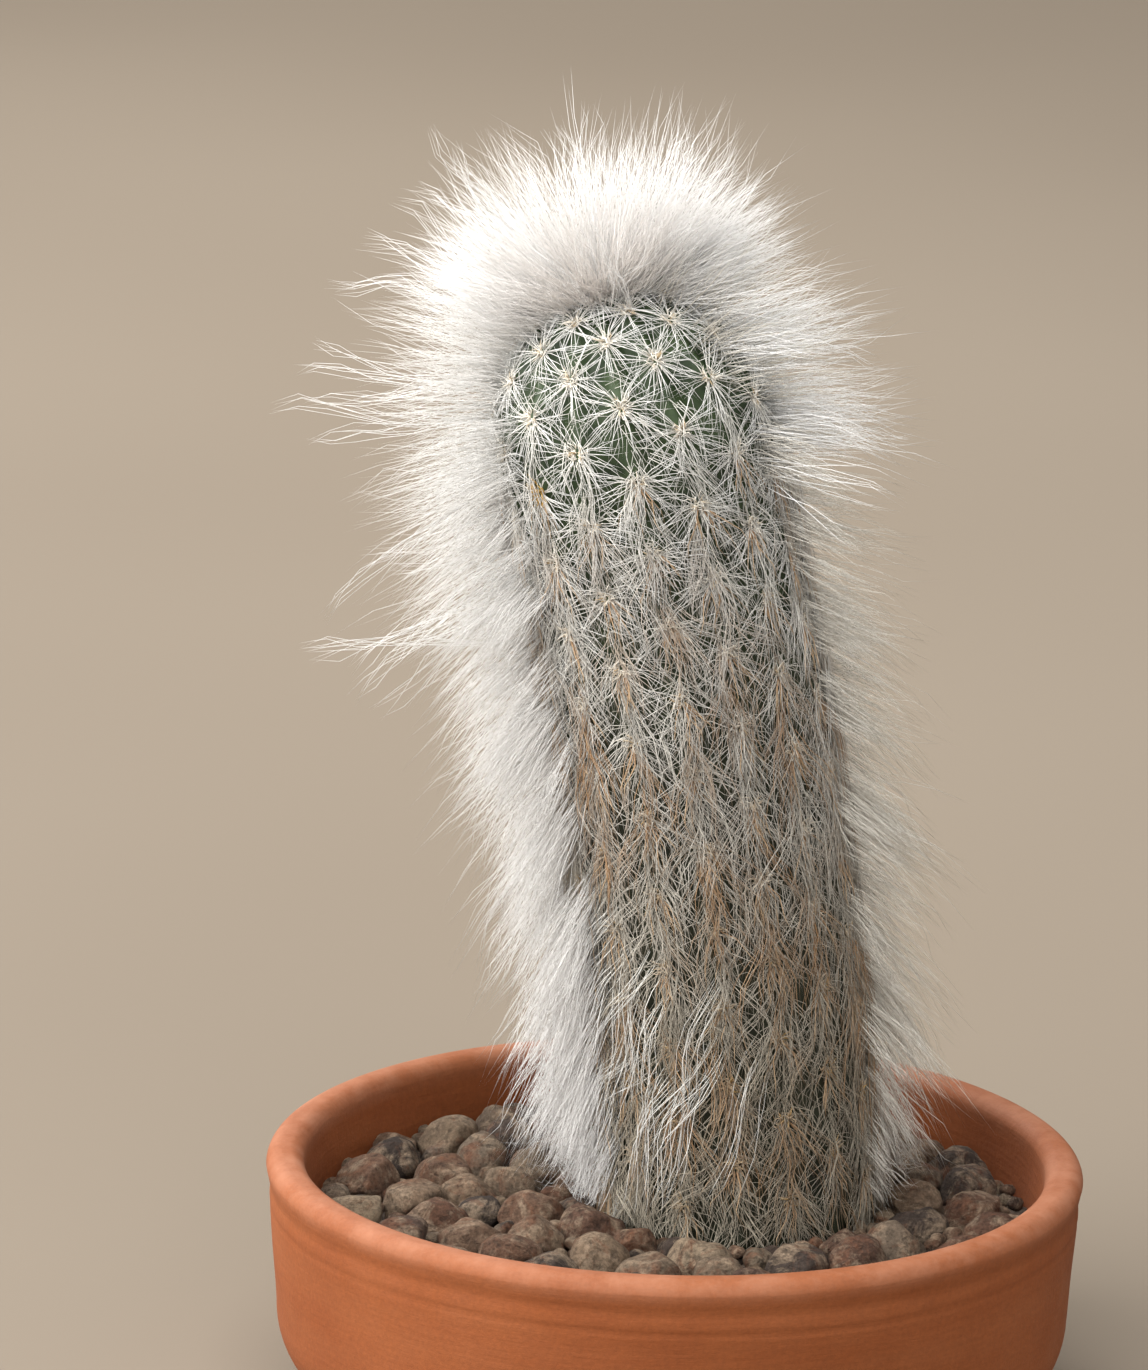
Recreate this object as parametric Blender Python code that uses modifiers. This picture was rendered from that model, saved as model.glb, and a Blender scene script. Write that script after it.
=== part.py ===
"""Potted Peruvian old man cactus.

A terracotta bowl holds potting soil and a gravel top dressing. The ribbed green stem with its
clusters of spines stands in a hole in both, and white wool hoods its crown and its back.

Metres, +Z up, -Y to the front. The origin is the centre of the pot's base. The stem and the
wool are worked out round a straight upright axis, then carried onto the leaning axis by `lean`.
"""

import math
import random

import bmesh
import bpy
from mathutils import Matrix, Vector

# Pot
RIM_RADIUS = 0.055
RIM_WIDTH = 0.0052
RIM_ROUNDING = 0.0022
POT_HEIGHT = 0.036
BAND_HEIGHT = 0.0046
BAND_STEP = 0.0005
WALL_TAPER = math.radians(6)
FOOT_ROUNDING = 0.015
INNER_ROUNDING = 0.0105
FLOOR_THICKNESS = 0.005
DRAIN_RADIUS = 0.005
POT_STEPS = 44

# Soil and gravel
GAP = 0.0003
SOIL_TOP = 0.022
BED_TOP = 0.0268
BED_STEPS = 40
PEBBLE_SIZES = (0.0047, 0.0042, 0.0037, 0.0032, 0.0027)
PEBBLE_LIFT = 0.22
PEBBLE_TRIES = 700
PEBBLE_NEARNESS = 0.86
PEBBLE_SIDES = 6
PEBBLE_RINGS = 4
PEBBLE_OVAL = (0.84, 1.0)
PEBBLE_SQUAT = (0.72, 0.9)
PEBBLE_SEED = 11

# Stem
STEM_BASE = Vector((0.0086, 0.004, 0.028))
STEM_HEIGHT = 0.1265
STEM_RADIUS = 0.0182
DOME_HEIGHT = 0.022
DOME_ARC = 0.032
LEAN = 0.06
LEAN_BEND = 0.9
RIBS = 16
COLUMNS_A_RIB = 3
GROOVE_DEPTH = 0.0017
STEM_ROWS = 28
ROW_GROWTH = 1.15
AREOLE_RISE = 0.0007
ROOT_DEPTH = 0.016
ROOT_SHAPE = ((0.25, 0.0160), (0.55, 0.0125), (1.0, 0.007))
HOLE_CLEARANCE = 0.0004
HOLE_SIDES = 32
HOLE_ABOVE = 0.006

# Spines
SPINE_LENGTH = 0.0062
SPINE_RADIUS = 0.00036
SPINE_ROOT = 0.0009
SPINE_LIFT = math.radians(24)
YOUNG_SPINES = 6
OLD_SPINES = 4
GROWN_ARC = 0.064
OLD_SWEEP = 0.45
SPINE_ARC = math.radians(81)
SPINE_MARGIN = 0.0012
SPINES_END = 0.0045

# Wool
WOOL_OFFSET = 0.00125
WOOL_THICKNESS = 0.003
WOOL_COLUMNS = 28
WOOL_END = 0.0056
HOOD_FRONT = 0.006
HOOD_BACK = 0.016
HOOD_ROWS = 4
SLEEVE_ROWS = 12
SLEEVE_GROWTH = 1.5
CROWN_REACH = 0.0275
LEFT_REACH = (0.0195, 0.0115)
RIGHT_REACH = (0.0155, 0.008)
LEFT_LOCK = (0.0225, 0.016)
RIGHT_LOCK = (0.0165, 0.0135)
CROWN_LOCK_SPACING = 0.0038
LOCK_SPACING = 0.0066
EDGE_LOCK_SPACING = 0.0046
EDGE_LOCK_TURN = 0.03
EDGE_LOCK_FORWARD = 0.25
HOOD_EDGE_LOCKS = 9
LOCK_RADIUS = 0.0017
LOCK_ROOT = 0.0015
LOCK_JITTER = 0.12
LOCK_DROOP = 3.0
DROOPING_RISE = (-0.55, 0.85)
SHORTEST_LOCK = 0.005
LOCKS_END = 0.0048
LOCK_SEED = 5

FRONT = -math.pi / 2
BACK = math.pi / 2


def clear_scene():
    for obj in list(bpy.data.objects):
        bpy.data.objects.remove(obj)


def material(name, colour, roughness):
    made = bpy.data.materials.new(name)
    made.use_nodes = True
    shader = made.node_tree.nodes["Principled BSDF"]
    shader.inputs["Base Color"].default_value = (*colour, 1)
    shader.inputs["Roughness"].default_value = roughness
    shader.inputs["Metallic"].default_value = 0
    return made


def new_collection(name):
    made = bpy.data.collections.new(name)
    bpy.context.scene.collection.children.link(made)
    return made


def new_object(name, mesh, collection, surface=None):
    obj = bpy.data.objects.new(name, mesh)
    collection.objects.link(obj)
    if surface:
        mesh.materials.append(surface)
    return obj


def mesh_of(name, bm):
    """The mesh that a bmesh holds, with its faces turned outwards."""
    bmesh.ops.recalc_face_normals(bm, faces=bm.faces)
    mesh = bpy.data.meshes.new(name)
    bm.to_mesh(mesh)
    bm.free()
    return mesh


def applied(obj):
    """Puts the object's evaluated mesh in its place, and leaves no modifier."""
    bpy.context.view_layer.update()
    graph = bpy.context.evaluated_depsgraph_get()
    mesh = bpy.data.meshes.new_from_object(obj.evaluated_get(graph))
    obj.modifiers.clear()
    obj.data = mesh


def fuse(body, pieces):
    """Joins a collection of small repeats to the body they grow from, and removes them."""
    union = body.modifiers.new("fused", "BOOLEAN")
    union.operation = "UNION"
    union.solver = "MANIFOLD"
    union.operand_type = "COLLECTION"
    union.collection = pieces
    applied(body)
    for piece in list(pieces.objects):
        bpy.data.objects.remove(piece)
    bpy.data.collections.remove(pieces)


def cut(body, cutter):
    hole = body.modifiers.new("hole", "BOOLEAN")
    hole.operation = "DIFFERENCE"
    hole.object = cutter
    applied(body)
    bpy.data.objects.remove(cutter)


def turned(name, profile, steps, closed, collection, surface):
    """A turned solid. Its (radius, height) profile runs down the outer side."""
    edges = [(i, i + 1) for i in range(len(profile) - 1)]
    if closed:
        edges.append((len(profile) - 1, 0))
    mesh = bpy.data.meshes.new(name)
    mesh.from_pydata([(r, 0, z) for r, z in profile], edges, [])
    obj = new_object(name, mesh, collection, surface)
    screw = obj.modifiers.new("turn", "SCREW")
    screw.steps = screw.render_steps = steps
    screw.use_merge_vertices = True
    screw.merge_threshold = 0.00001
    applied(obj)
    obj.data.shade_smooth()
    obj.data.set_sharp_from_angle(angle=math.radians(40))
    return obj


def arc(centre, radius, start, end, count):
    """Points of a circle's arc in the (radius, height) plane, angles in degrees."""
    angles = [math.radians(start + (end - start) * i / (count - 1)) for i in range(count)]
    return [(centre[0] + radius * math.cos(a), centre[1] + radius * math.sin(a)) for a in angles]


def pot_outside():
    """The pot's outer profile from the rim's top down to the base."""
    rim = arc((RIM_RADIUS - RIM_ROUNDING, POT_HEIGHT - RIM_ROUNDING), RIM_ROUNDING, 90, 0, 4)
    band_foot = POT_HEIGHT - BAND_HEIGHT
    wall_top = RIM_RADIUS - 1.6 * BAND_STEP
    foot_z = FOOT_ROUNDING
    foot_r = wall_top - (band_foot - foot_z) * math.tan(WALL_TAPER) - FOOT_ROUNDING
    band = [(RIM_RADIUS - 0.4 * BAND_STEP, band_foot), (wall_top, band_foot - BAND_STEP)]
    return rim + band + arc((foot_r, foot_z), FOOT_ROUNDING, -math.degrees(WALL_TAPER), -90, 5)


def pot_inside(inset=0.0):
    """The pot's inner profile from the floor up to the rim, moved inwards by inset."""
    inner_top = RIM_RADIUS - RIM_WIDTH
    corner_z = FLOOR_THICKNESS + INNER_ROUNDING
    drop = POT_HEIGHT - RIM_ROUNDING - corner_z
    corner_r = inner_top - drop * math.tan(WALL_TAPER) - INNER_ROUNDING
    corner = arc((corner_r, corner_z), INNER_ROUNDING - inset, -90, -5, 4)
    top = (inner_top + RIM_ROUNDING, POT_HEIGHT - RIM_ROUNDING)
    return corner, arc(top, RIM_ROUNDING + inset, 180, 100, 4)


def inner_radius(height):
    """How far the pot's inner wall is from its axis at a height above its corner."""
    return RIM_RADIUS - RIM_WIDTH - (POT_HEIGHT - RIM_ROUNDING - height) * math.tan(WALL_TAPER)


def make_pot(collection):
    corner, rim = pot_inside()
    drain = [(DRAIN_RADIUS, 0), (DRAIN_RADIUS, FLOOR_THICKNESS)]
    profile = pot_outside() + drain + corner + rim
    clay = material("terracotta", (0.52, 0.21, 0.09), 0.85)
    return turned("pot", profile, POT_STEPS, True, collection, clay)


def make_soil(collection):
    corner, _ = pot_inside(GAP)
    wall = [(inner_radius(SOIL_TOP) - GAP, SOIL_TOP)]
    profile = [(0, SOIL_TOP)] + wall + corner[::-1] + [(0, FLOOR_THICKNESS + GAP)]
    earth = material("soil", (0.05, 0.034, 0.024), 0.95)
    soil = turned("soil", profile, BED_STEPS, False, collection, earth)
    cut(soil, root_cutter())
    return soil


def pebble_places():
    """Centre and radius of each pebble, the largest first: tried at random, and kept where it fits."""
    rng = random.Random(PEBBLE_SEED)
    wall = inner_radius(BED_TOP) - GAP
    stem_edge = STEM_RADIUS + AREOLE_RISE + HOLE_CLEARANCE
    kept = []
    for size in PEBBLE_SIZES:
        for _ in range(PEBBLE_TRIES):
            radius = size * rng.uniform(0.94, 1.06)
            away = (wall - radius) * math.sqrt(rng.random())
            turn = rng.uniform(0, math.tau)
            spot = Vector((away * math.cos(turn), away * math.sin(turn), BED_TOP + PEBBLE_LIFT * radius))
            if (spot - lean(Vector((0, 0, spot.z - STEM_BASE.z)))).length < stem_edge + radius:
                continue
            if all((spot - other).length > PEBBLE_NEARNESS * (radius + r) for other, r in kept):
                kept.append((spot, radius))
    return kept


def make_gravel(collection):
    """A bed of grit with a hole for the stem, and the pebbles that lie half sunk in it."""
    low = SOIL_TOP + GAP
    wall = [(inner_radius(height) - GAP, height) for height in (BED_TOP, low)]
    profile = [(0, BED_TOP)] + wall + [(0, low)]
    stone = material("gravel", (0.3, 0.23, 0.17), 0.9)
    gravel = turned("gravel", profile, BED_STEPS, False, collection, stone)
    cut(gravel, root_cutter())
    bm = bmesh.new()
    bmesh.ops.create_uvsphere(bm, u_segments=PEBBLE_SIDES, v_segments=PEBBLE_RINGS, radius=1)
    ball = mesh_of("pebble", bm)
    pebbles = new_collection("pebbles")
    rng = random.Random(PEBBLE_SEED)
    for spot, radius in pebble_places():
        pebble = new_object("pebble", ball, pebbles)
        turn = Matrix.Rotation(rng.uniform(0, math.tau), 4, "Z")
        shape = Vector((1, rng.uniform(*PEBBLE_OVAL), rng.uniform(*PEBBLE_SQUAT)))
        size = Matrix.Diagonal(shape * radius).to_4x4()
        pebble.matrix_world = Matrix.Translation(spot) @ turn @ size
    fuse(gravel, pebbles)
    return gravel


def axis_frame(height):
    """Point on the leaning axis above the stem's base, and the directions across it and along it."""
    up = max(height, 0)
    point = STEM_BASE + Vector((-LEAN * height - LEAN_BEND * up * up, 0, height))
    along = Vector((-LEAN - 2 * LEAN_BEND * up, 0, 1)).normalized()
    across = Vector((along.z, 0, -along.x))
    return point, across, along


def lean(point):
    """Carries a point given round a straight upright axis onto the leaning stem."""
    base, across, _ = axis_frame(point.z)
    return base + across * point.x + Vector((0, point.y, 0))


def lean_direction(direction, height):
    _, across, along = axis_frame(height)
    return across * direction.x + Vector((0, direction.y, 0)) + along * direction.z


def meridian(arc_length):
    """Radius, height and outward slope of the stem's side at a length down from its tip."""
    dome_foot = STEM_HEIGHT - DOME_HEIGHT
    if arc_length < DOME_ARC:
        angle = arc_length / DOME_ARC * math.pi / 2
        slope = math.atan2(STEM_RADIUS * math.cos(angle), DOME_HEIGHT * math.sin(angle))
        return STEM_RADIUS * math.sin(angle), dome_foot + DOME_HEIGHT * math.cos(angle), slope
    return STEM_RADIUS, dome_foot - (arc_length - DOME_ARC), 0.0


def on_side(arc_length, azimuth, offset=0.0):
    """Point and outward normal on the stem's smooth side, before it leans."""
    radius, height, slope = meridian(arc_length)
    normal = Vector((
        math.cos(azimuth) * math.cos(slope),
        math.sin(azimuth) * math.cos(slope),
        math.sin(slope),
    ))
    spot = Vector((radius * math.cos(azimuth), radius * math.sin(azimuth), height))
    return spot + normal * offset, normal


def rib_offset(row, column):
    """How far a grid point stands off the smooth side: grooves between ribs, areoles staggered."""
    rib, place = divmod(column, COLUMNS_A_RIB)
    if place:
        return -GROOVE_DEPTH
    return AREOLE_RISE if (row + rib) % 2 == 0 else 0.0


def lofted(name, rings, tip, foot):
    """A closed mesh through rings of equally many points, closed by a fan at each end."""
    bm = bmesh.new()
    grid = [[bm.verts.new(point) for point in ring] for ring in rings]
    ends = (bm.verts.new(tip), bm.verts.new(foot))
    count = len(rings[0])
    for i in range(count):
        j = (i + 1) % count
        bm.faces.new((ends[0], grid[0][i], grid[0][j]))
        bm.faces.new((ends[1], grid[-1][j], grid[-1][i]))
        for upper, lower in zip(grid, grid[1:]):
            bm.faces.new((upper[i], lower[i], lower[j], upper[j]))
    return mesh_of(name, bm)


def row_arc(row):
    """Length from the tip to a grid row: rows lie closer together on the young growth."""
    return (DOME_ARC + STEM_HEIGHT - DOME_HEIGHT) * (row / STEM_ROWS) ** ROW_GROWTH


def make_stem_body():
    columns = RIBS * COLUMNS_A_RIB
    rings = []
    for row in range(1, STEM_ROWS + 1):
        grown = min(1.0, row_arc(row) / (DOME_ARC / 2))
        ring = []
        for column in range(columns):
            azimuth = FRONT + math.tau * column / columns
            offset = rib_offset(row, column) * grown
            ring.append(lean(on_side(row_arc(row), azimuth, offset)[0]))
        rings.append(ring)
    for share, radius in ROOT_SHAPE:
        rings.append(level_ring(-share * ROOT_DEPTH, radius, columns))
    tip = lean(Vector((0, 0, STEM_HEIGHT)))
    foot = lean(Vector((0, 0, -ROOT_DEPTH)))
    return lofted("stem", rings, tip, foot)


def level_ring(height, radius, count):
    turns = [FRONT + math.tau * i / count for i in range(count)]
    return [lean(Vector((radius * math.cos(a), radius * math.sin(a), height))) for a in turns]


def root_cutter():
    """The hole that the stem's foot stands in: the buried stem, a little wider and deeper."""
    mouth = STEM_RADIUS + AREOLE_RISE + HOLE_CLEARANCE
    shape = [(HOLE_ABOVE, mouth), (-HOLE_CLEARANCE, mouth)]
    shape += [(-share * ROOT_DEPTH - HOLE_CLEARANCE, radius + HOLE_CLEARANCE) for share, radius in ROOT_SHAPE]
    rings = [level_ring(height, radius, HOLE_SIDES) for height, radius in shape]
    ends = [lean(Vector((0, 0, height))) for height, _ in (shape[0], shape[-1])]
    cutter = new_object("root_cutter", lofted("root_cutter", rings, *ends), bpy.context.scene.collection)
    cutter.hide_render = True
    cutter.display_type = "WIRE"
    return cutter


def needle_mesh(bend):
    """A three-sided needle, one long along +Z and one in radius, whose tip bends towards +X."""
    bm = bmesh.new()
    bmesh.ops.create_cone(bm, cap_ends=True, segments=3, radius1=1, radius2=0, depth=1)
    bmesh.ops.translate(bm, verts=bm.verts, vec=(0, 0, 0.5))
    if bend:
        cut_faces = bm.verts[:] + bm.edges[:] + bm.faces[:]
        bmesh.ops.bisect_plane(bm, geom=cut_faces, plane_co=(0, 0, 0.5), plane_no=(0, 0, 1))
        for vert in bm.verts:
            vert.co.x += bend * vert.co.z ** 2
    bmesh.ops.triangulate(bm, faces=bm.faces)
    return mesh_of("needle", bm)


def place_needle(mesh, collection, root, direction, towards, length, radius):
    """Adds a needle that starts at root, runs along direction and bends towards a direction."""
    along = direction.normalized()
    side = (towards - along * towards.dot(along)).normalized()
    axes = Matrix((side * radius, along.cross(side) * radius, along * length)).transposed()
    needle = new_object("needle", mesh, collection)
    needle.matrix_world = Matrix.Translation(root) @ axes.to_4x4()


def downward(arc_length, azimuth):
    """The direction straight down the stem's side, before it leans."""
    _, _, slope = meridian(arc_length)
    outward = Vector((math.cos(azimuth), math.sin(azimuth), 0))
    return outward * math.sin(slope) - Vector((0, 0, math.cos(slope)))


def hood_edge(azimuth):
    """Length from the tip at which the crown's wool ends: short in front, long behind."""
    middle = (HOOD_FRONT + HOOD_BACK) / 2
    return middle + (HOOD_BACK - HOOD_FRONT) / 2 * math.sin(azimuth)


def bare(arc_length, azimuth):
    """Whether a point of the stem's side lies clear of the wool."""
    off_front = abs((azimuth - FRONT + math.pi) % math.tau - math.pi)
    return off_front < SPINE_ARC and arc_length > hood_edge(azimuth) + SPINE_MARGIN


def areoles():
    """Arc length and azimuth of each areole that the wool leaves bare."""
    for row in range(2, STEM_ROWS):
        for rib in range(row % 2, RIBS, 2):
            azimuth = FRONT + math.tau * rib / RIBS
            if bare(row_arc(row), azimuth):
                yield row_arc(row), azimuth


def add_spines(stem):
    """The radial spines of each bare areole, fewer and swept further down the older it is."""
    spines = new_collection("spines")
    mesh = needle_mesh(0)
    for arc_length, azimuth in areoles():
        root, normal = on_side(arc_length, azimuth, AREOLE_RISE - SPINE_ROOT)
        down = downward(arc_length, azimuth)
        across = normal.cross(down)
        age = min(1.0, arc_length / GROWN_ARC)
        count = YOUNG_SPINES if arc_length < DOME_ARC else OLD_SPINES
        for number in range(count):
            swept = math.pi * (2 * number + 1 - count) / count * (1 - OLD_SWEEP * age)
            run = SPINE_LENGTH * math.cos(SPINE_LIFT)
            fall, drift = run * math.cos(swept), run * math.sin(swept)
            if not bare(arc_length + fall, azimuth + drift / meridian(arc_length)[0]):
                continue
            if root.z - fall < SPINES_END:
                continue
            direction = down * fall + across * drift + normal * SPINE_LENGTH * math.sin(SPINE_LIFT)
            leaned = lean_direction(direction, root.z)
            towards = lean_direction(normal, root.z)
            place_needle(mesh, spines, lean(root), leaned, towards, SPINE_LENGTH, SPINE_RADIUS)
    fuse(stem, spines)


def make_stem(collection):
    stem = new_object("stem", make_stem_body(), collection, material("stem", (0.2, 0.25, 0.13), 0.6))
    add_spines(stem)
    return stem


def wool_shell():
    """An open sheet over the crown all round, and down the back half of the stem."""
    bm = bmesh.new()
    turns = [BACK + math.tau * column / WOOL_COLUMNS for column in range(WOOL_COLUMNS)]
    foot = DOME_ARC + STEM_HEIGHT - DOME_HEIGHT - WOOL_END
    tip = bm.verts.new(lean(on_side(0, BACK, WOOL_OFFSET)[0]))
    rows = []
    for row in range(1, HOOD_ROWS + SLEEVE_ROWS + 1):
        share = (max(0, row - HOOD_ROWS) / SLEEVE_ROWS) ** SLEEVE_GROWTH
        ring = []
        for turn in turns:
            edge = hood_edge(turn)
            arc_length = edge * row / HOOD_ROWS if row <= HOOD_ROWS else edge + (foot - edge) * share
            ring.append(bm.verts.new(lean(on_side(arc_length, turn, WOOL_OFFSET)[0])))
        rows.append(ring)
    for i in range(WOOL_COLUMNS):
        j = (i + 1) % WOOL_COLUMNS
        bm.faces.new((tip, rows[0][i], rows[0][j]))
        behind = all(min(k, WOOL_COLUMNS - k) <= WOOL_COLUMNS // 4 for k in (i, j))
        for number, (upper, lower) in enumerate(zip(rows, rows[1:]), 2):
            if number <= HOOD_ROWS or behind:
                bm.faces.new((upper[i], lower[i], lower[j], upper[j]))
    loose = [vert for vert in bm.verts if not vert.link_faces]
    bmesh.ops.delete(bm, geom=loose, context="VERTS")
    return mesh_of("wool", bm)


def lock_shape(arc_length, azimuth):
    """Length of a lock of wool, and how far it reaches from the stem's side: fuller on the left."""
    left = 0.5 - 0.5 * math.cos(azimuth)
    below = max(0.0, arc_length - DOME_ARC) / (STEM_HEIGHT - DOME_HEIGHT)
    on_dome = max(0.0, 1 - arc_length / DOME_ARC)

    def blend(on_left, on_right):
        ends = [on_right[i] + (on_left[i] - on_right[i]) * left for i in (0, 1)]
        return ends[0] + (ends[1] - ends[0]) * below

    reach = blend(LEFT_REACH, RIGHT_REACH)
    reach += (CROWN_REACH - reach) * on_dome
    outer = WOOL_OFFSET + WOOL_THICKNESS - LOCK_ROOT
    return max(blend(LEFT_LOCK, RIGHT_LOCK), reach - outer), reach - outer


def lock_places():
    """Arc length, azimuth and lean to the front of each lock, in staggered rings down the wool."""
    rng = random.Random(LOCK_SEED)
    foot = DOME_ARC + STEM_HEIGHT - DOME_HEIGHT - WOOL_END - LOCKS_END
    arc_length = 0.0015
    while arc_length < foot:
        spacing = CROWN_LOCK_SPACING if arc_length < DOME_ARC / 2 else LOCK_SPACING
        count = max(3, round(math.tau * (meridian(arc_length)[0] + WOOL_OFFSET) / spacing))
        start = rng.random()
        for number in range(count):
            azimuth = math.tau * (start + number + rng.uniform(-0.15, 0.15)) / count
            spread = abs((azimuth - BACK + math.pi) % math.tau - math.pi)
            if arc_length < hood_edge(azimuth) - LOCK_RADIUS or spread < math.pi / 2 - 0.2:
                yield arc_length + rng.uniform(-0.1, 0.1) * spacing, azimuth, 0.0
        arc_length += spacing
    for number in range(HOOD_EDGE_LOCKS):
        azimuth = FRONT + math.pi * ((number + 0.5) / HOOD_EDGE_LOCKS - 0.5)
        yield hood_edge(azimuth), azimuth, 0.0
    start = (HOOD_FRONT + HOOD_BACK) / 2
    for row in range(int((foot - start) / EDGE_LOCK_SPACING)):
        for azimuth in (EDGE_LOCK_TURN, math.pi - EDGE_LOCK_TURN):
            yield start + (row + rng.uniform(-0.2, 0.2)) * EDGE_LOCK_SPACING, azimuth, EDGE_LOCK_FORWARD


def add_locks(wool):
    """Tapering locks that stand out of the wool's sheet and droop towards their tips."""
    rng = random.Random(LOCK_SEED)
    locks = new_collection("locks")
    straight = needle_mesh(0)
    drooping = needle_mesh(LOCK_DROOP)
    for arc_length, azimuth, forward in lock_places():
        root, normal = on_side(max(arc_length, 0.0005), azimuth, WOOL_OFFSET + WOOL_THICKNESS - LOCK_ROOT)
        down = downward(arc_length, azimuth)
        length, reach = lock_shape(arc_length, azimuth)
        length *= rng.uniform(0.88, 1.0)
        hang = math.acos(min(1.0, reach / length))
        across = Vector((math.sin(azimuth), -math.cos(azimuth), 0))
        to_front = math.copysign(forward, -across.y) if forward else rng.uniform(-LOCK_JITTER, LOCK_JITTER)
        direction = normal * math.cos(hang) + down * math.sin(hang) + across * to_front
        leaned = lean_direction(direction, root.z).normalized()
        spot = lean(root)
        droops = DROOPING_RISE[0] < leaned.z < DROOPING_RISE[1]
        room = spot.z - STEM_BASE.z - LOCKS_END - (LOCK_DROOP * LOCK_RADIUS if droops else 0)
        if length * -leaned.z > room:
            length = room / -leaned.z
        if length > SHORTEST_LOCK:
            shape = drooping if droops else straight
            place_needle(shape, locks, spot, leaned, Vector((0, 0, -1)), length, LOCK_RADIUS)
    fuse(wool, locks)


def make_wool(collection):
    wool = new_object("wool", wool_shell(), collection, material("wool", (0.86, 0.84, 0.8), 0.8))
    sheet = wool.modifiers.new("sheet", "SOLIDIFY")
    sheet.thickness = WOOL_THICKNESS
    sheet.offset = 1
    sheet.use_even_offset = True
    applied(wool)
    add_locks(wool)
    return wool


def main():
    clear_scene()
    cactus = new_collection("potted_cactus")
    make_pot(cactus)
    make_soil(cactus)
    make_gravel(cactus)
    make_stem(cactus)
    make_wool(cactus)


main()
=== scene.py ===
"""Dressed model of the potted Peruvian old man cactus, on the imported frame.

Finer pieces stand for the CAD nodes: a smooth turned bowl, loose pebbles, a ribbed skin with its
areoles and spines, and the white wool as single tapering hairs. All lengths are in metres.
"""

import math
import random

import bmesh
import bpy
import numpy as np
from mathutils import Matrix, Vector


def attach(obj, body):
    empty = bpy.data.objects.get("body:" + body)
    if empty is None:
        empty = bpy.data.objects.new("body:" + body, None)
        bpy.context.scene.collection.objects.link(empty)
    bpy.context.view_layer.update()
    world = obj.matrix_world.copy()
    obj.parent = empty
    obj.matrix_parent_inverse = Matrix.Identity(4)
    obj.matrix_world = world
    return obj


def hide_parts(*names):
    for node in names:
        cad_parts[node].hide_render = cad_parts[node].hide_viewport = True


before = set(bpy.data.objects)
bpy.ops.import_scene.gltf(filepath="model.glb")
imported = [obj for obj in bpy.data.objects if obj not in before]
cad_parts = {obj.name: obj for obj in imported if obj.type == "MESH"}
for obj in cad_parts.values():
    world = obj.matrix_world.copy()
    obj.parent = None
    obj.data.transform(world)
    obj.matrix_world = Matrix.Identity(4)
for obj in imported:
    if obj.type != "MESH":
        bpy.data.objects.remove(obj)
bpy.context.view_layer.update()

# Photograph
IMAGE_SIZE = (1148, 1370)
CAMERA_ELEVATION = math.radians(14.9)
CAMERA_ROLL = math.radians(1.36)
CAMERA_DISTANCE = 1.2
FRAME_HEIGHT = 0.182
LOOK_AT = Vector((-0.0151, 0, 0.1008))

# Pot, as in the CAD model
RIM_RADIUS = 0.055
RIM_WIDTH = 0.0052
RIM_ROUNDING = 0.0022
POT_HEIGHT = 0.036
BAND_HEIGHT = 0.0046
WALL_TAPER = math.radians(6)
OUTER_TAPER = math.radians(4.4)
FOOT_START = 0.0145
FOOT_BEND = 0.0118
INNER_ROUNDING = 0.0105
FLOOR_THICKNESS = 0.005
DRAIN_RADIUS = 0.005
POT_STEPS = 160

# Gravel, as in the CAD model
GAP = 0.0003
BED_TOP = 0.0268
PEBBLE_SIZES = (0.0047, 0.0042, 0.0037, 0.0032, 0.0027)
PEBBLE_LIFT = 0.22
PEBBLE_TRIES = 700
PEBBLE_NEARNESS = 0.86
PEBBLE_OVAL = (0.84, 1.0)
PEBBLE_SQUAT = (0.72, 0.9)
PEBBLE_SEED = 11

# Stem, as in the CAD model
STEM_BASE = np.array((0.0086, 0.004, 0.028))
STEM_HEIGHT = 0.1265
STEM_RADIUS = 0.0182
DOME_HEIGHT = 0.022
DOME_ARC = 0.032
LEAN = 0.06
LEAN_BEND = 0.9
RIBS = 16
GROOVE_DEPTH = 0.0017
STEM_ROWS = 28
ROW_GROWTH = 1.15
AREOLE_RISE = 0.0007
ROOT_DEPTH = 0.016
SIDE_ARC = DOME_ARC + STEM_HEIGHT - DOME_HEIGHT
HOOD_FRONT = 0.006
HOOD_BACK = 0.016

FRONT = -math.pi / 2
BACK = math.pi / 2
DOWN = np.array((0.0, 0.0, -1.0))

# Detail
SKIN_COLUMNS = 6
SKIN_ROWS = 90
HAIR_FLOOR = 0.0262
PEBBLE_TOPS = 0.0318
WARM_HAIR = (0.50, 0.28, 0.125)
OCHRE = (0.50, 0.29, 0.05)
OCHRE_AREOLE = (0.0323, -0.785)
LOCK_SPREAD = 0.0011
LOOSE_SHARE = 0.16
LEFT_EDGE = (219, 213)
RIGHT_EDGE = (-38, -20)


def unit(vectors):
    return vectors / np.maximum(np.linalg.norm(vectors, axis=-1, keepdims=True), 1e-12)


def stack(*columns):
    return np.stack(np.broadcast_arrays(*columns), axis=-1)


# Shape of the stem


def axis_frame(height):
    """Point on the leaning axis above the stem's base, and the directions across it and along it."""
    up = np.maximum(height, 0)
    point = STEM_BASE + stack(-LEAN * height - LEAN_BEND * up * up, 0, height)
    along = unit(stack(-LEAN - 2 * LEAN_BEND * up, 0, 1))
    across = stack(along[..., 2], 0, -along[..., 0])
    return point, across, along


def meridian(arc):
    """Radius, height and outward slope of the stem's side at a length down from its tip."""
    foot = STEM_HEIGHT - DOME_HEIGHT
    angle = np.clip(arc / DOME_ARC, 0, 1) * math.pi / 2
    slope = np.arctan2(STEM_RADIUS * np.cos(angle), DOME_HEIGHT * np.sin(angle))
    height = foot + DOME_HEIGHT * np.cos(angle) - np.maximum(arc - DOME_ARC, 0)
    return STEM_RADIUS * np.sin(angle), height, slope


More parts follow.
